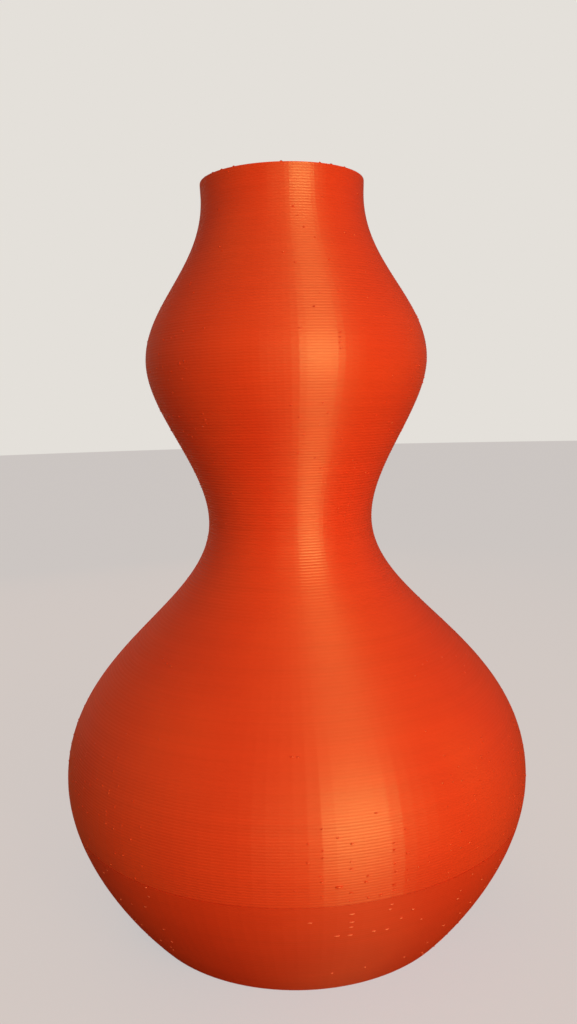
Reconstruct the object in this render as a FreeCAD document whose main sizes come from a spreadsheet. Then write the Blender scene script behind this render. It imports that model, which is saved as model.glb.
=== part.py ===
import FreeCAD, Part
import math
import os
import Sketcher

# Double gourd vase, printed as one thin wall of plastic on a solid base.
# The origin is the middle of the underside and +Z runs up the vase. Lengths are in millimetres.
# The outline is a chain of curves between the rings where it is widest or narrowest. It is upright
# at each of these rings, and a share of the rise sets how long it stays nearly upright there.
# The wall's profile is cut at layer planes, and each strip is turned into a zone of its own, so the
# zones lie face to face.

sizes = {
    "base_radius": 42.3,  # flat underside
    "base_lean_share": 0.87,  # how far the wall runs out for its rise, where it leaves the base
    "base_hold_share": 0.15,  # of the belly's rise
    "belly_rise": 38.6,  # from the underside to the widest ring
    "belly_radius": 60.3,
    "belly_under_share": 0.42,
    "belly_over_share": 0.48,
    "waist_rise": 65.45,  # from the belly's ring to the waist
    "waist_radius": 21.35,
    "waist_under_share": 0.335,
    "waist_over_share": 0.343,
    "bulb_rise": 40.85,  # from the waist to the upper bulb's widest ring
    "bulb_radius": 35.9,
    "bulb_under_share": 0.313,
    "bulb_over_share": 0.355,
    "neck_rise": 40.4,  # from the bulb's ring to the narrowest ring of the neck
    "neck_radius": 20.55,
    "neck_under_share": 0.42,
    "neck_over_share": 0.33,
    "rim_rise": 3.7,  # the lip, from the neck's ring to the mouth
    "rim_radius": 20.65,
    "rim_under_share": 0.33,
    "wall": 1.2,  # three lines of filament side by side
    "floor": 1.2,  # solid layers that close the base
    "foot_height": 30.0,  # the finish turns from dull to glossy at this height
    "belly_top_share": 0.28,  # of the waist's rise, where the belly wall ends
    "shoulder_top_share": 0.62,  # of the waist's rise, where the shoulder wall ends
    "waist_top_share": 0.5,  # of the bulb's rise, where the waist ends
    "bulb_top_share": 0.55,  # of the neck's rise, where the bulb wall ends
    "overrun": 2.0,  # how far a cutting strip reaches past the profile
}

doc = FreeCAD.newDocument("double_gourd_vase")
sheet = doc.addObject("Spreadsheet::Sheet", "sheet")
for row, (alias, number) in enumerate(sizes.items(), start=1):
    sheet.set(f"A{row}", alias)
    sheet.set(f"B{row}", str(number))
    sheet.setAlias(f"B{row}", alias)
doc.recompute()


def cell(name):
    return f"sheet.{name}"


# Heights of the rings above the underside, as sums of the rises below them.
ring_names = ["belly", "waist", "bulb", "neck", "rim"]
heights = {}
so_far = []
for ring in ring_names:
    so_far.append(cell(f"{ring}_rise"))
    heights[ring] = "(" + " + ".join(so_far) + ")"


def base_curve(inset):
    # From the base's edge, leaning outwards, to the belly's ring. The inner copy starts on the
    # floor, a wall's thickness inside the lean.
    lean = cell("base_lean_share")
    hold = f"{cell('base_hold_share')} * {cell('belly_rise')}"
    under = f"{cell('belly_under_share')} * {cell('belly_rise')}"
    if inset:
        low = cell("floor")
        start = f"({cell('base_radius')} + {low} * {lean} - {cell('wall')} * sqrt(1 + {lean} ^ 2))"
        ring = f"({cell('belly_radius')} - {cell('wall')})"
        under = f"({under} - {cell('wall')} / 2)"
        first = (start, low)
        second = (f"{start} + {hold} * {lean}", f"{low} + {hold}")
    else:
        start = cell("base_radius")
        ring = cell("belly_radius")
        first = (start, None)
        second = (f"{start} + {hold} * {lean}", hold)
    return [first, second, (ring, f"{cell('belly_rise')} - {under}"), (ring, cell("belly_rise"))]


def ring_curve(lower, upper, inset):
    # From one ring to the next. A cubic's radius of curvature at its end is 1.5 times its handle
    # squared over the step between the rings. The inner copy has its handles longer or shorter,
    # so that its radius there differs from the outer one by the wall.
    rise = cell(f"{upper}_rise")
    over = f"{cell(lower + '_over_share')} * {rise}"
    under = f"{cell(upper + '_under_share')} * {rise}"
    low_radius, high_radius = cell(f"{lower}_radius"), cell(f"{upper}_radius")
    if inset:
        change = f"{cell('wall')} * ({low_radius} - {high_radius}) / 1.5"
        over = f"sqrt(({over}) ^ 2 - {change})"
        under = f"sqrt(({under}) ^ 2 + {change})"
        low_radius, high_radius = (f"({r} - {cell('wall')})" for r in (low_radius, high_radius))
    low, high = heights[lower], heights[upper]
    return [(low_radius, low), (low_radius, f"{low} + {over}"),
            (high_radius, f"{high} - {under}"), (high_radius, high)]


def outline(inset):
    curves = [base_curve(inset)]
    for lower, upper in zip(ring_names, ring_names[1:]):
        curves.append(ring_curve(lower, upper, inset))
    return curves


def add_curve(sketch, poles):
    # A cubic spline whose four poles are fixed by their radius and height. They start spread out
    # on a slant and move to their places when the sheet's sizes come in.
    step = sizes["wall"]
    start = [FreeCAD.Vector(step * (k + 1), step * (k + 1), 0) for k in range(len(poles))]
    curve = sketch.addGeometry(Part.BSplineCurve(start, None, None, False, 3, None, False), False)
    sketch.exposeInternalGeometry(curve)
    for k, (radius, height) in enumerate(poles):
        pole = curve + 1 + k
        for kind, place, text in (("DistanceX", start[k].x, radius), ("DistanceY", start[k].y, height)):
            if text is None:
                sketch.addConstraint(Sketcher.Constraint("PointOnObject", pole, 3, -1))
                continue
            number = sketch.addConstraint(Sketcher.Constraint(kind, -1, 1, pole, 3, place))
            sketch.setExpression(f"Constraints[{number}]", text)
    return curve


def add_line(sketch, first, second):
    # A straight edge between two points that are already fixed, each a (geometry, end) pair.
    line = sketch.addGeometry(Part.LineSegment(FreeCAD.Vector(0, 0, 0),
                                               FreeCAD.Vector(sizes["wall"], sizes["wall"], 0)), False)
    sketch.addConstraint(Sketcher.Constraint("Coincident", line, 1, *first))
    if second is None:
        sketch.addConstraint(Sketcher.Constraint("PointOnObject", line, 2, -2))
        sketch.addConstraint(Sketcher.Constraint("Horizontal", line))
    else:
        sketch.addConstraint(Sketcher.Constraint("Coincident", line, 2, *second))
    return line


def add_profile():
    # The wall and floor cut through on one side of the axis: outer curves up to the mouth, inner
    # curves back down to the floor.
    sketch = doc.addObject("Sketcher::SketchObject", "wall_outline")
    sketch.Placement = FreeCAD.Placement(FreeCAD.Vector(0, 0, 0),
                                         FreeCAD.Rotation(FreeCAD.Vector(1, 0, 0), 90))
    outer = [add_curve(sketch, poles) for poles in outline(False)]
    inner = [add_curve(sketch, poles) for poles in outline(True)]
    add_line(sketch, (-1, 1), (outer[0], 1))
    add_line(sketch, (outer[-1], 2), (inner[-1], 2))
    floor_line = add_line(sketch, (inner[0], 1), None)
    add_line(sketch, (floor_line, 2), (-1, 1))
    face = doc.addObject("Part::Face", "profile")
    face.Sources = [sketch]
    return face


def add_zone(profile, label, low, high):
    # The part of the vase between two layer planes: a strip of the profile, turned about the axis.
    strip = doc.addObject("Part::Box", f"{label}_strip")
    widest = "; ".join([cell("base_radius")] + [cell(f"{ring}_radius") for ring in ring_names])
    strip.setExpression("Length", f"max({widest}) + 2 * {cell('overrun')}")
    strip.setExpression("Width", f"2 * {cell('overrun')}")
    strip.setExpression("Height", f"{high} - ({low})")
    strip.setExpression("Placement.Base.x", f"-{cell('overrun')}")
    strip.setExpression("Placement.Base.y", f"-{cell('overrun')}")
    strip.setExpression("Placement.Base.z", low)
    piece = doc.addObject("Part::Common", f"{label}_profile")
    piece.Base = profile
    piece.Tool = strip
    zone = doc.addObject("Part::Revolution", label)
    zone.Source = piece
    zone.Axis = (0, 0, 1)
    zone.Angle = 360
    zone.Solid = True
    zone.Label = label
    return zone


profile = add_profile()
bounds = [
    ("base_disc", cell("floor")),
    ("foot_wall", cell("foot_height")),
    ("belly_wall", f"{heights['belly']} + {cell('belly_top_share')} * {cell('waist_rise')}"),
    ("shoulder_wall", f"{heights['belly']} + {cell('shoulder_top_share')} * {cell('waist_rise')}"),
    ("lower_waist_wall", heights["waist"]),
    ("upper_waist_wall", f"{heights['waist']} + {cell('waist_top_share')} * {cell('bulb_rise')}"),
    ("lower_bulb_wall", heights["bulb"]),
    ("upper_bulb_wall", f"{heights['bulb']} + {cell('bulb_top_share')} * {cell('neck_rise')}"),
    ("neck_wall", heights["neck"]),
    ("rim_band", f"{heights['rim']} + {cell('overrun')}"),
]
zones = []
low = f"-{cell('overrun')}"
for label, high in bounds:
    zones.append(add_zone(profile, label, low, high))
    low = high
doc.recompute()

for item in doc.Objects:
    if "Invalid" in item.State or "Error" in item.State:
        raise RuntimeError(f"{item.Name} didn't build: {item.State}")
for zone in zones:
    shape = zone.Shape
    if shape.isNull() or not shape.isValid() or len(shape.Solids) != 1:
        raise RuntimeError(f"{zone.Label} isn't one valid solid")

os.makedirs("parts", exist_ok=True)
for zone in zones:
    zone.Shape.exportStep(f"parts/{zone.Label}.step")
    print(f"{zone.Label}: {zone.Shape.Volume / 1000:.3f} cm3")
joined = sum(zone.Shape.Volume for zone in zones)
turned = 2 * math.pi * profile.Shape.CenterOfMass.x * profile.Shape.Area
print(f"zones together {joined / 1000:.3f} cm3, the whole profile turned {turned / 1000:.3f} cm3")
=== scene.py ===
import math
import random
import bpy
import numpy as np
from mathutils import Matrix, Vector


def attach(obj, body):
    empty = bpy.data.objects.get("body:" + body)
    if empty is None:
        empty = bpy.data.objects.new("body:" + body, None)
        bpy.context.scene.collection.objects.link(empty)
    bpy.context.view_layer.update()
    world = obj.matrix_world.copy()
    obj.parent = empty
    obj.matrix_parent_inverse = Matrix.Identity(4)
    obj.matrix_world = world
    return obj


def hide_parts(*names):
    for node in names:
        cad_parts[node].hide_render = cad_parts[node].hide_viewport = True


# A double gourd vase, 3-D printed in one thin wall of silk PLA. Lengths here are millimetres on the
# vase; mm turns them into the scene's metres. Angles go round from the front, -Y, towards +X.

mm = 0.001
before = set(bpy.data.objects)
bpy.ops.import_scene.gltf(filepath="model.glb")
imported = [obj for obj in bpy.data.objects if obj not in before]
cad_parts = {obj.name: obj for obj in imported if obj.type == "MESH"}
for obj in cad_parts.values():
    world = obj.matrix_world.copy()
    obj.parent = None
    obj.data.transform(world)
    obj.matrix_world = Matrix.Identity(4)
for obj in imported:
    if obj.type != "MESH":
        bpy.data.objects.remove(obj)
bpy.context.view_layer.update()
random.seed(7)

# The wall's outline: a chain of cubics between the rings where it is widest or narrowest.
# Each ring has its rise over the last one, its radius, and how much of that rise the curve
# stays upright for, under and over the ring.
outline = {
    "baseRadius": 42.3,
    "baseLean": 0.87,
    "baseHold": 0.15,
    "rings": [
        {"rise": 38.6, "radius": 60.3, "under": 0.42, "over": 0.48},    # belly
        {"rise": 65.45, "radius": 21.35, "under": 0.335, "over": 0.343},  # waist
        {"rise": 40.85, "radius": 35.9, "under": 0.313, "over": 0.355},   # upper bulb
        {"rise": 40.4, "radius": 20.55, "under": 0.42, "over": 0.33},     # neck
        {"rise": 3.7, "radius": 20.65, "under": 0.33, "over": 0.33},      # rim
    ],
    "wall": 1.2,
    "floor": 1.2,
    "height": 189.0,
    "facets": 128,        # the print is flat-sided, 2.8 degrees a side
    "facetTurn": 1.9,     # where the first upright edge stands, degrees from the front
    # Real layers are 0.15 mm, less than a pixel in the render. They are drawn some four times as
    # coarse, 0.66 mm, so that the level lines show, at about the spacing they have in the photo.
    "beadPitch": 0.66,
    "outerSteps": 4,      # rows of the mesh to a bead, on the outer face and on the inner one
    "innerSteps": 2,
    # How deep the crease between two beads is, by height: deepest at the waist and under the
    # neck, and shallow on the foot, which is nearly smooth.
    "beadDepths": [(30.0, 0.015), (30.1, 0.045), (60.0, 0.02), (80.0, 0.03), (95.0, 0.06),
                   (108.0, 0.11), (120.0, 0.09), (135.0, 0.04), (148.0, 0.045), (158.0, 0.085),
                   (172.0, 0.055), (189.0, 0.045)],
    "slopeReach": 0.2,    # how far up and down the wall's slope is taken over
}


def spanPoles(inner):
    wall, floor = outline["wall"], outline["floor"]
    lean, rings = outline["baseLean"], outline["rings"]
    first = rings[0]
    hold, under = outline["baseHold"] * first["rise"], first["under"] * first["rise"]
    if inner:
        start = outline["baseRadius"] + floor * lean - wall * math.sqrt(1 + lean ** 2)
        low, ring, under = floor, first["radius"] - wall, under - wall / 2
    else:
        start, low, ring = outline["baseRadius"], 0.0, first["radius"]
    spans = [[(start, low), (start + hold * lean, low + hold),
              (ring, first["rise"] - under), (ring, first["rise"])]]
    height = first["rise"]
    for below, above in zip(rings, rings[1:]):
        rise = above["rise"]
        over, under = below["over"] * rise, above["under"] * rise
        lowRadius, highRadius = below["radius"], above["radius"]
        if inner:
            # A cubic's radius of curvature at its end is 1.5 times its handle squared over the
            # step between the rings. The inner one differs from the outer one by the wall.
            change = wall * (lowRadius - highRadius) / 1.5
            over, under = math.sqrt(over ** 2 - change), math.sqrt(under ** 2 + change)
            lowRadius, highRadius = lowRadius - wall, highRadius - wall
        spans.append([(lowRadius, height), (lowRadius, height + over),
                      (highRadius, height + rise - under), (highRadius, height + rise)])
        height += rise
    return spans


def tracedOutline(inner, steps=300):
    t = np.linspace(0, 1, steps)[:, None]
    points = []
    for poles in spanPoles(inner):
        a, b, c, d = (np.array(p, float) for p in poles)
        points.append((1 - t) ** 3 * a + 3 * t * (1 - t) ** 2 * b + 3 * t ** 2 * (1 - t) * c + t ** 3 * d)
    return np.vstack(points)


outerTrace, innerTrace = tracedOutline(False), tracedOutline(True)


def wallRadius(height, inner=False):
    trace = innerTrace if inner else outerTrace
    return np.interp(height, trace[:, 1], trace[:, 0])


def wallSlope(height, inner=False):
    reach = outline["slopeReach"]
    return (wallRadius(height + reach, inner) - wallRadius(height - reach, inner)) / (2 * reach)


def beadDepth(height):
    heights, depths = zip(*outline["beadDepths"])
    return float(np.interp(height, heights, depths))


print("outline traced:", len(outerTrace), "points a side, height", round(outerTrace[-1, 1], 2), "mm")

# The camera stands close, a little below the middle of the upper bulb, and looks slightly down.
cameraView = {
    "place": (0.0, -230.25, 132.41),
    "pitch": -6.628,
    "roll": -1.480,
    "yaw": -0.104,
    "focalPixels": 880.38,
    "picture": (577, 1024),
    "sightRange": (120, 320),   # from the camera, which takes in the whole front of the wall
    "sightSteps": 8001,
}


def cameraAxes():
    pitch, roll, yaw = (math.radians(cameraView[k]) for k in ("pitch", "roll", "yaw"))
    ahead = Vector((math.sin(yaw) * math.cos(pitch), math.cos(yaw) * math.cos(pitch), math.sin(pitch)))
    side = Vector((math.cos(yaw), -math.sin(yaw), 0))
    up = side.cross(ahead)
    right = side * math.cos(roll) + up * math.sin(roll)
    return right, up * math.cos(roll) - side * math.sin(roll), ahead


def placeCamera():
    right, up, ahead = cameraAxes()
    data = bpy.data.cameras.new("photoCamera")
    camera = bpy.data.objects.new("photoCamera", data)
    bpy.context.scene.collection.objects.link(camera)
    turn = Matrix((right, up, -ahead)).transposed().to_4x4()
    camera.matrix_world = Matrix.Translation(Vector(cameraView["place"]) * mm) @ turn
    data.sensor_width = 36.0
    data.lens = cameraView["focalPixels"] * data.sensor_width / cameraView["picture"][1]
    data.clip_start = 0.01
    bpy.context.scene.camera = camera


placeCamera()
print("camera placed")


def pixelToWall(x, y):
    # The angle and height where the line of sight through a pixel of the photo meets the wall.
    right, up, ahead = cameraAxes()
    width, height = cameraView["picture"]
    sight = (ahead + right * ((x - width / 2) / cameraView["focalPixels"])
             - up * ((y - height / 2) / cameraView["focalPixels"]))
    steps = np.linspace(*cameraView["sightRange"], cameraView["sightSteps"])[:, None]
    way = steps * np.array(sight.normalized()) + np.array(cameraView["place"])
    reach = np.hypot(way[:, 0], way[:, 1])
    spot = way[np.argmax(reach < wallRadius(way[:, 2]))]
    return math.degrees(math.atan2(spot[0], -spot[1])), spot[2]


def wallPoint(degrees, height, out=0.0):
    angle = math.radians(degrees)
    radius = float(wallRadius(height)) + out
    return Vector((radius * math.sin(angle), -radius * math.cos(angle), height))


def pixelToRim(x):
    # The angle on the front half of the rim that shows at this pixel column.
    right, up, ahead = cameraAxes()
    best = None
    frontHalf = np.arange(-88, 88.1, 0.5)   # degrees
    for degrees in frontHalf:
        spot = wallPoint(degrees, outline["height"], -outline["wall"] / 2) - Vector(cameraView["place"])
        column = cameraView["picture"][0] / 2 + cameraView["focalPixels"] * spot.dot(right) / spot.dot(ahead)
        if best is None or abs(column - x) < best[0]:
            best = (abs(column - x), degrees)
    return best[1]


def wallSpot(degrees, height):
    # A point on the wall with its directions round, up along and out of the wall.
    angle = math.radians(degrees)
    around = Vector((math.cos(angle), math.sin(angle), 0))
    outward = Vector((math.sin(angle), -math.cos(angle), 0))
    upward = (outward * float(wallSlope(height)) + Vector((0, 0, 1))).normalized()
    return wallPoint(degrees, height), around, upward, around.cross(upward).normalized()


def rimSpot(degrees, height):
    # The same on the flat top of the lip, halfway across it.
    around, upward = wallSpot(degrees, height)[1:3]
    up = Vector((0, 0, 1))
    return wallPoint(degrees, height, -outline["wall"] / 2), around, up.cross(around), up


blobShape = {
    "sides": 6,
    # Its two rings: how far each reaches, as a share of the half width, and how far it stands out,
    # as a share of the blob's own. The first is sunk into the wall.
    "rings": ((1.0, -0.35), (0.86, 0.45)),
}
blobSizes = {
    # On the photo's blobs the height and how far they stand out follow from the length.
    "tallLeast": 0.25, "tallShare": 0.2, "proudShare": 0.3,
    "scatteredLong": (0.5, 0.9), "scatteredTall": (0.3, 0.4), "scatteredProud": (0.08, 0.18),
    "seamGap": 0.3,         # stays free above and below a zone's seams
    "frontDegrees": 32,     # so far to each side the photo says where the blobs are
    "stubLong": 0.8, "stubTall": 0.9,
    "behindDegrees": (75, 285), "behindLong": (0.4, 0.9), "behindHeightShare": (0.5, 1),
}


def addBlob(verts, faces, spot, long, tall, proud):
    # A little lump of plastic, left where the print head stopped and started.
    centre, around, upward, out = spot
    sides, first = blobShape["sides"], len(verts)
    for ring, (reach, rise) in enumerate(blobShape["rings"]):
        for k in range(sides):
            turn = 2 * math.pi * (k + 0.5 * ring) / sides
            verts.append(centre + around * (long / 2 * reach * math.cos(turn))
                         + upward * (tall / 2 * reach * math.sin(turn)) + out * (proud * rise))
    verts.append(centre + out * proud)
    for k in range(sides):
        j = (k + 1) % sides
        faces.append((first + k, first + j, first + sides + k))
        faces.append((first + j, first + sides + j, first + sides + k))
        faces.append((first + sides + k, first + sides + j, first + 2 * sides))
    faces.append(tuple(first + k for k in reversed(range(sides))))


def wallRows(piece):
    # Profile rows from the bottom of the outer face up, over the top and down the inner face,
    # each as radius, height and whether a sharp ring runs there.
    low, high = piece["low"], piece["high"]
    beads = max(1, round((high - low) / outline["beadPitch"]))
    rows = []
    for inner, parts in ((False, outline["outerSteps"]), (True, outline["innerSteps"])):
        count = beads * parts
        order = range(count + 1) if not inner else reversed(range(count + 1))
        for k in order:
            height = low + (high - low) * k / count
            share = (k % parts) / parts
            depth = beadDepth(height) * (2 * share - 1) ** 2
            if not inner and k == 0:
                depth = piece.get("lowGroove", depth)
            depth *= math.sqrt(1 + float(wallSlope(height, inner)) ** 2)
            radius = float(wallRadius(height, inner)) + (depth if inner else -depth)
            rows.append((radius, height, k % parts == 0))   # sharp at every crease
    return rows


def turnedVerts(rows):
    # Each row of the profile as a ring of corners round the axis.
    n = outline["facets"]
    angles = [math.radians(outline["facetTurn"] + 360 / n * k) for k in range(n)]
    return [Vector((r * math.sin(a), -r * math.cos(a), h)) for r, h, _ in rows for a in angles]


def bandFaces(i, j):
    # The sides between the rings of two rows.
    n = outline["facets"]
    return [(i * n + k, i * n + (k + 1) % n, j * n + (k + 1) % n, j * n + k) for k in range(n)]


def buildWall(piece):
    rows = wallRows(piece)
    verts = turnedVerts(rows)
    faces = []
    for i in range(len(rows)):
        faces += bandFaces(i, (i + 1) % len(rows))
    wallVerts = len(verts)
    addBlobs(piece, verts, faces)
    finishPiece(piece, verts, faces, wallVerts, [i for i, row in enumerate(rows) if row[2]])


def buildDisc(piece):
    # The closed bottom: the side's rows, then rings in to the middle on top and underneath.
    n, parts = outline["facets"], outline["outerSteps"]
    low, high = piece["low"], piece["high"]
    count = parts * max(1, round((high - low) / outline["beadPitch"]))
    rows = [(piece["middleRadius"], low, False), (float(wallRadius(low)) - piece["bevel"], low, True)]
    for k in range(count + 1):
        height = low + (high - low) * k / count
        depth = piece["edgeGroove"] if k == 0 else beadDepth(height) * (2 * (k % parts) / parts - 1) ** 2
        rows.append((float(wallRadius(height)) - depth, height, k in (0, count)))
    rows.append((piece["middleRadius"], high, False))
    verts = turnedVerts(rows)
    faces = [tuple(reversed(range(n)))]
    for i in range(len(rows) - 1):
        faces += bandFaces(i, i + 1)
    faces.append(tuple((len(rows) - 1) * n + k for k in range(n)))
    finishPiece(piece, verts, faces, len(verts), [i for i, row in enumerate(rows) if row[2]])


def addBlobs(piece, verts, faces):
    # The blobs that the photo shows, then scattered ones where it doesn't say. The order of the
    # random draws decides where they fall.
    low, high = piece["low"] + blobSizes["seamGap"], piece["high"] - blobSizes["seamGap"]
    for x, y, long in photoBlobs:
        degrees, height = pixelToWall(x, y)
        if low <= height <= high:
            tall = piece.get("blobTall", blobSizes["tallLeast"] + blobSizes["tallShare"] * long)
            addBlob(verts, faces, wallSpot(degrees, height), long * piece.get("blobStretch", 1.0),
                    tall, piece.get("blobProud", blobSizes["proudShare"] * long))
    girth = 2 * math.pi * float(wallRadius((low + high) / 2))
    side = 360 / outline["facets"]
    for k in range(round(piece["blobsPerCm2"] * girth * (high - low) / 100)):
        degrees = outline["facetTurn"] + side * random.randrange(outline["facets"])
        height = random.uniform(low, high)
        if abs(degrees if degrees < 180 else degrees - 360) < blobSizes["frontDegrees"]:
            continue
        long = random.uniform(*blobSizes["scatteredLong"])
        tall = random.uniform(*blobSizes["scatteredTall"])
        proud = random.uniform(*blobSizes["scatteredProud"])
        addBlob(verts, faces, wallSpot(degrees, height), long, piece.get("blobTall", tall), proud)
    top = high + blobSizes["seamGap"]
    for x in piece.get("stubs", ()):
        addBlob(verts, faces, rimSpot(pixelToRim(x), top),
                blobSizes["stubLong"], blobSizes["stubTall"], piece["stubHeight"])
    for k in range(piece.get("stubsBehind", 0)):
        degrees = random.uniform(*blobSizes["behindDegrees"])
        long = random.uniform(*blobSizes["behindLong"])
        proud = piece["stubHeight"] * random.uniform(*blobSizes["behindHeightShare"])
        addBlob(verts, faces, rimSpot(degrees, top), long, blobSizes["stubTall"], proud)


def finishPiece(piece, verts, faces, wallVerts, sharpRows):
    n = outline["facets"]
    mesh = bpy.data.meshes.new(piece["node"])
    mesh.from_pydata([tuple(v * mm) for v in verts], [], faces)
    mesh.polygons.foreach_set("use_smooth", np.ones(len(mesh.polygons), bool))
    ends = np.zeros(2 * len(mesh.edges), int)
    mesh.edges.foreach_get("vertices", ends)
    a, b = ends.reshape(-1, 2).T
    onWall = (a < wallVerts) & (b < wallVerts)
    upright = onWall & (a % n == b % n)
    ringEdge = onWall & (a // n == b // n) & np.isin(a // n, sharpRows)
    sharp = mesh.attributes.new("sharp_edge", "BOOLEAN", "EDGE")
    sharp.data.foreach_set("value", upright | ringEdge)
    mesh.update()
    for material in piece["materials"]:
        mesh.materials.append(material)
    # The second finish is for a wall's blobs, or for the level faces of a piece without blobs.
    levelFrom, noBlobs = 0.9, wallVerts == len(verts)
    second = [p.vertices[0] >= wallVerts or (noBlobs and abs(p.normal.z) > levelFrom)
              for p in mesh.polygons]
    mesh.polygons.foreach_set("material_index", np.array(second, int))
    thing = bpy.data.objects.new(piece["node"] + "_print", mesh)
    bpy.context.scene.collection.objects.link(thing)
    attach(thing, "root")
    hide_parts(piece["node"])
    print(piece["node"], "built:", len(mesh.polygons), "faces")


def hexColour(text):
    # sRGB hex to the linear colour that the nodes work in.
    parts = [int(text[k:k + 2], 16) / 255 for k in (1, 3, 5)]
    return [c / 12.92 if c <= 0.04045 else ((c + 0.055) / 1.055) ** 2.4 for c in parts] + [1.0]


def addNode(tree, kind, settings, links=()):
    # A name or number that is one of the node's inputs sets that input, any other its setting.
    node = tree.nodes.new(kind)
    for name, value in settings.items():
        if isinstance(name, int) or name in node.inputs:
            node.inputs[name].default_value = value
        else:
            setattr(node, name, value)
    for name, source in dict(links).items():
        tree.links.new(source, node.inputs[name])
    return node


silkPla = {
    # Silk PLA, extruded in level beads. Its pearly additive shines warm, and the beads draw the
    # light out up and down into one tall streak.
    "colour": "#F03C15",
    "warmPatch": "#F24016",
    "deepPatch": "#ED3914",
    "roughness": 0.33,
    "crease": 0.1,
    "leaningRoughness": 0.62,
    "anisotropic": 0.95,
    "specularTint": "#FFEE88",
    "specularLevel": 1.0,
    "grain": 0.15,
}
dullPla = {
    # The same plastic laid down cooler and slower, so it came out matt and a little darker.
    "colour": "#E63710",
    "warmPatch": "#E93A11",
    "deepPatch": "#E3340F",
    "roughness": 0.54,
    "crease": 0.06,
    "leaningRoughness": 0.66,
    "anisotropic": 0.75,
    "specularTint": "#FFE890",
    "specularLevel": 0.6,
    "grain": 0.25,
}


pattern = {
    # Scales are to the metre, so 40 makes patches 25 mm across.
    "patch": 40.0,
    "patchRange": (0.3, 0.7),
    "streak": (12.0, 12.0, 650.0),   # 1.5 mm apart and long round
    "streakRange": (0.25, 0.75),
    "streakShade": (0.96, 1.03),
    "leanRange": (0.3, 0.65),        # the normal's upright share, over which the gloss blurs
    "grain": 3300.0,                 # 0.3 mm across
    "raster": 393.0,                 # lines 1.1 mm apart
}


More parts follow.
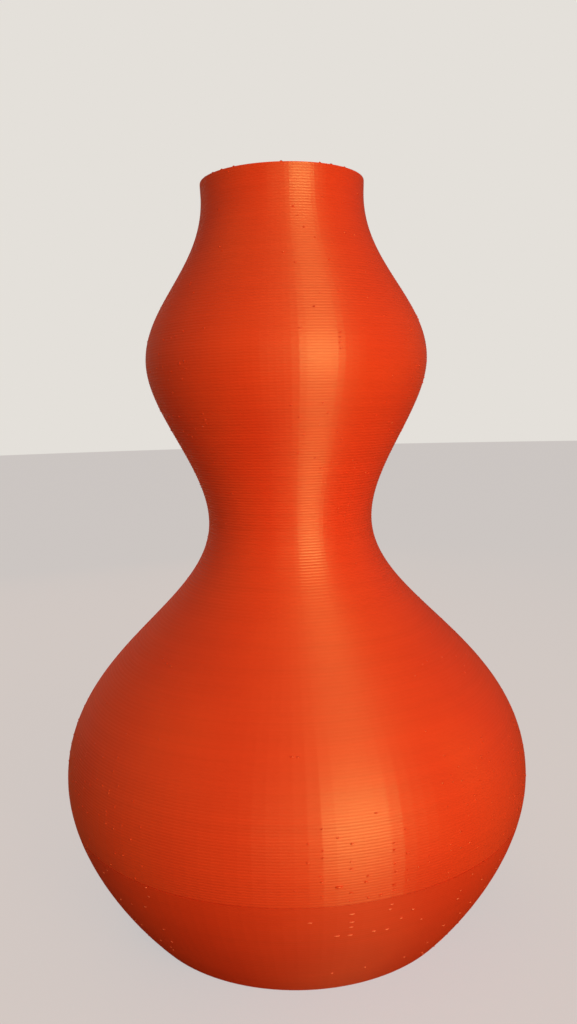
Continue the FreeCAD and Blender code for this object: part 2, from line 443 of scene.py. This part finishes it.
def printedPlastic(name, look, raster=False):
    material = bpy.data.materials.new(name)
    material.use_nodes = True
    tree = material.node_tree
    tree.nodes.clear()
    place = addNode(tree, "ShaderNodeTexCoord", {})
    # A slow change of shade, in patches.
    patches = addNode(tree, "ShaderNodeTexNoise", {"Scale": pattern["patch"], "Detail": 2.0},
                      {"Vector": place.outputs["Object"]})
    shade = addNode(tree, "ShaderNodeValToRGB", {}, {"Fac": patches.outputs["Fac"]})
    shade.color_ramp.elements[0].position = pattern["patchRange"][0]
    shade.color_ramp.elements[0].color = hexColour(look["deepPatch"])
    shade.color_ramp.elements[1].position = pattern["patchRange"][1]
    shade.color_ramp.elements[1].color = hexColour(look["warmPatch"])
    middle = shade.color_ramp.elements.new(0.5)
    middle.color = hexColour(look["colour"])
    # Level streaks: some layers came out a shade lighter.
    squeeze = addNode(tree, "ShaderNodeMapping", {"Scale": pattern["streak"]},
                      {"Vector": place.outputs["Object"]})
    streaks = addNode(tree, "ShaderNodeTexNoise", {"Scale": 1.0, "Detail": 3.0, "Roughness": 0.7},
                      {"Vector": squeeze.outputs["Vector"]})
    (least, most), (darkest, lightest) = pattern["streakRange"], pattern["streakShade"]
    streakShade = addNode(tree, "ShaderNodeMapRange", {"From Min": least, "From Max": most,
                                                       "To Min": darkest, "To Max": lightest},
                          {"Value": streaks.outputs["Fac"]})
    colour = addNode(tree, "ShaderNodeVectorMath", {"operation": "SCALE"},
                     {0: shade.outputs["Color"], "Scale": streakShade.outputs["Result"]})
    # Where the wall leans, the steps between layers are wide and blur the gloss.
    facing = addNode(tree, "ShaderNodeNewGeometry", {})
    lean = addNode(tree, "ShaderNodeSeparateXYZ", {}, {"Vector": facing.outputs["Normal"]})
    steep = addNode(tree, "ShaderNodeMath", {"operation": "ABSOLUTE"}, {0: lean.outputs["Z"]})
    gloss = addNode(tree, "ShaderNodeMapRange", {"From Min": pattern["leanRange"][0],
                                                 "From Max": pattern["leanRange"][1],
                                                 "To Min": look["roughness"],
                                                 "To Max": look["leaningRoughness"]},
                    {"Value": steep.outputs["Value"]})
    # The crown of each bead is glossy and the crease between two is duller, which draws the
    # level lines in the streak. They have the pitch of the drawn beads.
    beads = addNode(tree, "ShaderNodeTexWave", {"wave_type": "BANDS", "bands_direction": "Z",
                                                "wave_profile": "SIN", "Distortion": 0.3,
                                                "Scale": math.pi / (10 * outline["beadPitch"] * mm)},
                    {"Vector": place.outputs["Object"]})
    rough = addNode(tree, "ShaderNodeMath", {"operation": "MULTIPLY_ADD", 1: look["crease"]},
                    {0: beads.outputs["Fac"], 2: gloss.outputs["Result"]})
    # Fine grain of the cooled plastic.
    grain = addNode(tree, "ShaderNodeTexNoise", {"Scale": pattern["grain"], "Detail": 2.0},
                    {"Vector": place.outputs["Object"]})
    bump = addNode(tree, "ShaderNodeBump", {"Strength": look["grain"], "Distance": 0.00003},
                   {"Height": grain.outputs["Fac"]})
    if raster:
        # Solid layers are filled with straight lines at 45 degrees, 0.4 mm apart on the real
        # print and drawn at 1.1 mm to show.
        lines = addNode(tree, "ShaderNodeTexWave", {"wave_type": "BANDS", "bands_direction": "DIAGONAL",
                                                    "wave_profile": "SIN", "Scale": pattern["raster"],
                                                    "Distortion": 0.15, "Detail": 1.0},
                        {"Vector": place.outputs["Object"]})
        bump = addNode(tree, "ShaderNodeBump", {"Strength": 0.6, "Distance": 0.0001},
                       {"Height": lines.outputs["Fac"], "Normal": bump.outputs["Normal"]})
    plastic = addNode(tree, "ShaderNodeBsdfPrincipled",
                      {"Metallic": 0.0, "IOR": 1.52, "Anisotropic": look["anisotropic"],
                       "Anisotropic Rotation": 0.25, "Specular IOR Level": look["specularLevel"],
                       "Specular Tint": hexColour(look["specularTint"])},
                      {"Base Color": colour.outputs["Vector"], "Roughness": rough.outputs["Value"],
                       "Normal": bump.outputs["Normal"]})
    if not raster:
        roundAxis = addNode(tree, "ShaderNodeTangent", {"direction_type": "RADIAL", "axis": "Z"})
        tree.links.new(roundAxis.outputs["Tangent"], plastic.inputs["Tangent"])
    addNode(tree, "ShaderNodeOutputMaterial", {}, {"Surface": plastic.outputs["BSDF"]})
    return material


silkMaterial = printedPlastic("silkPlaPrinted", silkPla)
dullMaterial = printedPlastic("dullPlaPrinted", dullPla)
# A blob cools as one smooth drop, without beads or steps. On the dull foot its colour is painted lighter: a
# painted highlight for the glint the lamp gives its top.
silkDrop = dict(silkPla, anisotropic=0.0, roughness=0.3, crease=0.0, leaningRoughness=0.3)
# Painted highlight: a lighter orange that stands in for the lamp's glint on the foot's blobs.
paintedGlintDrop = dict(silkDrop, colour="#F8683C", warmPatch="#F96C40", deepPatch="#F76438")
dropMaterial = printedPlastic("silkPlaDrop", silkDrop)
paintedGlintDropMaterial = printedPlastic("silkPlaPaintedGlintDrop", paintedGlintDrop)
dullFilledMaterial = printedPlastic("dullPlaSolidLayers", dict(dullPla, anisotropic=0.0), raster=True)
print("plastics mixed")

# Blobs that show in the photo: pixel column, pixel row, length in millimetres.
photoBlobs = [
    (322, 829, 0.7), (338, 838, 0.8), (308, 844, 0.7), (352, 844, 0.8), (323, 851, 0.7),
    (323, 858, 0.7), (308, 863, 0.8), (351, 862, 0.5), (351, 869, 0.8), (394, 843, 0.7),
    (394, 850, 0.8), (408, 853, 0.8), (405, 829, 0.7), (395, 864, 0.7), (396, 872, 0.7),
    (408, 870, 0.5), (408, 880, 0.8), (429, 856, 0.5), (429, 862, 0.6), (418, 867, 0.6),
    (320, 877, 0.6), (322, 882, 0.8), (339, 887, 1.8), (368, 876, 0.7), (366, 882, 0.9),
    (351, 893, 0.9), (381, 895, 0.9), (368, 898, 0.6), (394, 885, 0.8), (394, 891, 0.7),
    (322, 897, 0.7), (350, 901, 0.6), (295, 891, 0.5), (404, 895, 0.7), (416, 891, 0.6),
    (392, 904, 0.8), (390, 909, 0.8), (413, 909, 0.6), (310, 923, 0.9), (352, 914, 1.1),
    (352, 922, 1.1), (351, 927, 0.9), (350, 935, 1.1), (337, 936, 1.1), (374, 931, 0.9),
    (387, 929, 0.9), (401, 918, 0.6), (421, 919, 0.6), (292, 757, 1.0), (298, 757, 0.8),
    (376, 813, 0.8), (404, 957, 0.5), (365, 967, 0.5), (332, 973, 0.5),
    (291, 405, 0.7), (323, 403, 0.6), (328, 413, 0.7), (299, 417, 0.7), (319, 425, 0.6),
    (291, 427, 0.7), (337, 432, 0.7), (304, 435, 0.7), (342, 439, 0.7), (304, 443, 0.6),
    (298, 453, 0.7), (315, 458, 0.6), (332, 462, 0.7), (321, 468, 0.8), (345, 473, 0.6),
    (183, 331, 0.5), (204, 328, 0.5), (293, 206, 0.6), (297, 215, 0.6), (322, 197, 0.5),
    (304, 227, 0.6), (315, 237, 0.7), (332, 243, 0.5), (283, 252, 0.5), (295, 262, 0.5),
    (329, 259, 0.7), (339, 291, 0.7), (320, 293, 0.5), (314, 306, 0.6), (300, 328, 0.8),
    (340, 332, 0.7), (340, 337, 0.7), (340, 342, 0.7), (341, 348, 0.7),
]

silkFinish = {"slot": "silky_plastic", "materials": [silkMaterial, dropMaterial]}
baseDisc = {
    "node": "base_disc", "low": 0.0, "high": 1.2, "slot": "dull_plastic",
    "materials": [dullMaterial, dullFilledMaterial],
    "middleRadius": 0.5,                    # of the face that closes the middle
    "bevel": 0.25, "edgeGroove": 0.12,      # round the underside's edge
}
footWall = {
    "node": "foot_wall", "low": 1.2, "high": 30.0, "slot": "dull_plastic",
    # The foot's blobs take the drop with the painted highlight, lighter than the foot.
    "materials": [dullMaterial, paintedGlintDropMaterial], "blobsPerCm2": 2.5,
    "blobProud": 0.2, "blobTall": 0.26, "blobStretch": 1.25,
}
bellyWall = {
    "node": "belly_wall", "low": 30.0, "high": 56.926, **silkFinish,
    "lowGroove": 0.13,   # the line where the finish changes
    "blobsPerCm2": 6.0,
}
shoulderWall = {
    "node": "shoulder_wall", "low": 56.926, "high": 79.179, **silkFinish,
    "blobsPerCm2": 1.0,
}
lowerWaistWall = {
    "node": "lower_waist_wall", "low": 79.179, "high": 104.05, **silkFinish,
    "blobsPerCm2": 1.5,
}
upperWaistWall = {
    "node": "upper_waist_wall", "low": 104.05, "high": 124.475, **silkFinish,
    "blobsPerCm2": 3.0,
}
lowerBulbWall = {
    "node": "lower_bulb_wall", "low": 124.475, "high": 144.9, **silkFinish,
    "blobsPerCm2": 5.0,
}
upperBulbWall = {
    "node": "upper_bulb_wall", "low": 144.9, "high": 167.12, **silkFinish,
    "blobsPerCm2": 2.0,
}
neckWall = {
    "node": "neck_wall", "low": 167.12, "high": 185.3, **silkFinish,
    "blobsPerCm2": 1.5,
}
rimBand = {
    "node": "rim_band", "low": 185.3, "high": 189.0, **silkFinish,
    "blobsPerCm2": 1.0,
    # Stubs of plastic left on the last layer: in front by their pixel column in the photo, and as
    # many more behind as stubsBehind says.
    "stubs": [206, 213, 222, 234, 281, 320, 331, 344],
    "stubHeight": 0.4, "stubsBehind": 9,
}

buildDisc(baseDisc)
for piece in (footWall, bellyWall, shoulderWall, lowerWaistWall, upperWaistWall,
              lowerBulbWall, upperBulbWall, neckWall, rimBand):
    buildWall(piece)

lampSpread = 110.0   # degrees, which keeps the panels' light off the floor beside them
keyWindow = {
    # A tall soft panel to the right of the camera: it lights the vase and makes the streak.
    "degrees": 26.0, "distance": 0.42, "height": 0.145, "wide": 0.235, "tall": 0.28,
    "watts": 0.355, "colour": "#FFFFFF",
}
sideGlow = {
    # The weaker light round it softens the streak's sides.
    "degrees": 20.0, "distance": 0.45, "height": 0.16, "wide": 0.75, "tall": 0.3,
    "watts": 0.308, "colour": "#FFFFFF",
}
backFill = {
    # A weak panel behind the vase, so that its back isn't black. It leaves no reflection.
    "degrees": 205.0, "distance": 0.6, "height": 0.25, "wide": 0.6, "tall": 0.4,
    "watts": 0.6, "colour": "#FFFFFF", "reflects": False,
}
worldFill = {
    "colour": "#FFFFFF", "strength": 0.38,
    "room": "#E8D9C4", "glossStrength": 0.12,
    "shown": "#E4E0DA", "shownStrength": 1.0,
}
floorLook = {
    # A warm floor, whose light from below reddens the foot and the belly.
    "colour": "#8C5F3A", "radius": 3.0, "glow": "#DCDFE0", "shownStrength": 0.7,
}


def placeLamp(name, lamp):
    data = bpy.data.lights.new(name, "AREA")
    data.shape = "RECTANGLE"
    data.size, data.size_y = lamp["wide"], lamp["tall"]
    data.energy = lamp["watts"]
    data.color = hexColour(lamp["colour"])[:3]
    data.spread = math.radians(lampSpread)
    panel = bpy.data.objects.new(name, data)
    bpy.context.scene.collection.objects.link(panel)
    angle = math.radians(lamp["degrees"])
    away = Vector((math.sin(angle), -math.cos(angle), 0))
    panel.visible_glossy = lamp.get("reflects", True)
    panel.location = away * lamp["distance"] + Vector((0, 0, lamp["height"]))
    panel.rotation_euler = away.to_track_quat("Z", "Y").to_euler()


def fillWorld():
    world = bpy.data.worlds.new("studio")
    bpy.context.scene.world = world
    world.use_nodes = True
    tree = world.node_tree
    tree.nodes.clear()
    light = addNode(tree, "ShaderNodeBackground", {"Color": hexColour(worldFill["colour"]),
                                                   "Strength": worldFill["strength"]})
    shown = addNode(tree, "ShaderNodeBackground", {"Color": hexColour(worldFill["shown"]),
                                                   "Strength": worldFill["shownStrength"]})
    # Reflections see dim surroundings, so the gloss picks up little besides the panels.
    room = addNode(tree, "ShaderNodeBackground", {"Color": hexColour(worldFill["room"]),
                                                  "Strength": worldFill["glossStrength"]})
    ray = addNode(tree, "ShaderNodeLightPath", {})
    gloss = addNode(tree, "ShaderNodeMixShader", {},
                    {0: ray.outputs["Is Glossy Ray"], 1: light.outputs[0], 2: room.outputs[0]})
    view = addNode(tree, "ShaderNodeMixShader", {},
                   {0: ray.outputs["Is Camera Ray"], 1: gloss.outputs[0], 2: shown.outputs[0]})
    addNode(tree, "ShaderNodeOutputWorld", {}, {"Surface": view.outputs[0]})


def layFloor():
    bpy.ops.mesh.primitive_circle_add(vertices=96, radius=floorLook["radius"], fill_type="NGON")
    floor = bpy.context.object
    floor.name = "floor"
    material = bpy.data.materials.new("warmPaper")
    material.use_nodes = True
    tree = material.node_tree
    tree.nodes.clear()
    paper = addNode(tree, "ShaderNodeBsdfDiffuse", {"Color": hexColour(floorLook["colour"])})
    # The camera sees the paper lighter than the lamp makes it, with the vase's shadow kept.
    ray = addNode(tree, "ShaderNodeLightPath", {})
    lift = addNode(tree, "ShaderNodeMath", {"operation": "MULTIPLY", 1: floorLook["shownStrength"]},
                   {0: ray.outputs["Is Camera Ray"]})
    glow = addNode(tree, "ShaderNodeEmission", {"Color": hexColour(floorLook["glow"])},
                   {"Strength": lift.outputs["Value"]})
    both = addNode(tree, "ShaderNodeAddShader", {}, {0: paper.outputs[0], 1: glow.outputs[0]})
    addNode(tree, "ShaderNodeOutputMaterial", {}, {"Surface": both.outputs[0]})
    floor.data.materials.append(material)


placeLamp("keyWindow", keyWindow)
placeLamp("sideGlow", sideGlow)
placeLamp("backFill", backFill)
fillWorld()
layFloor()
bpy.context.scene.view_settings.view_transform = "Standard"
print("lamp, world and floor set")
